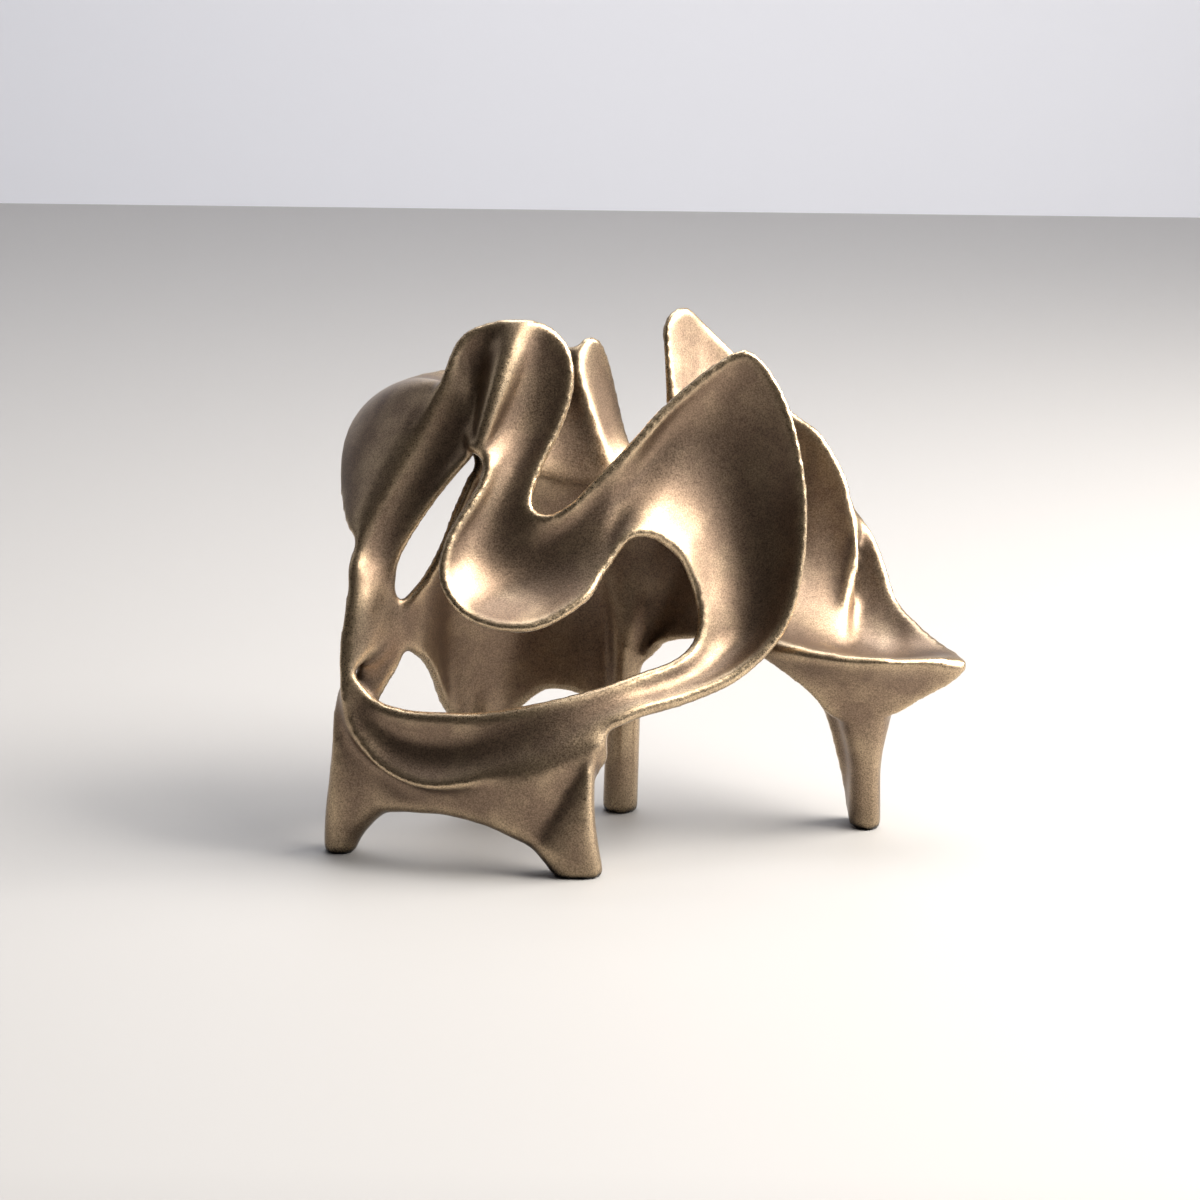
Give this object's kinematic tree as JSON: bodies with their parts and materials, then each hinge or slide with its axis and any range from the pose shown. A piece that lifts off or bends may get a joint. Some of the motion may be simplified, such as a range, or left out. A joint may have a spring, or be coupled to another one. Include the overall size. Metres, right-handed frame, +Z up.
{
  "type": "abstract metal sculpture",
  "caption": "Cast bronze abstract: one flowing sheet folded into a pierced front ring, an open crown, a tall petal, a leaf and a boat-shaped wing, standing on slim feet.",
  "frame": {"origin": "centre of the bounding box at the soles of the feet", "axes": "+Z up, +X to the right seen from the pierced ring side, the ring faces -Y"},
  "size_m": [0.2132, 0.1278, 0.1712],
  "materials": {
    "bronze": "brown patina with fine cast grain, worn golden on rims and ridges, near black in the hollows"
  },
  "bodies": {
    "root": {"casting": "bronze"}
  },
  "joints": []
}
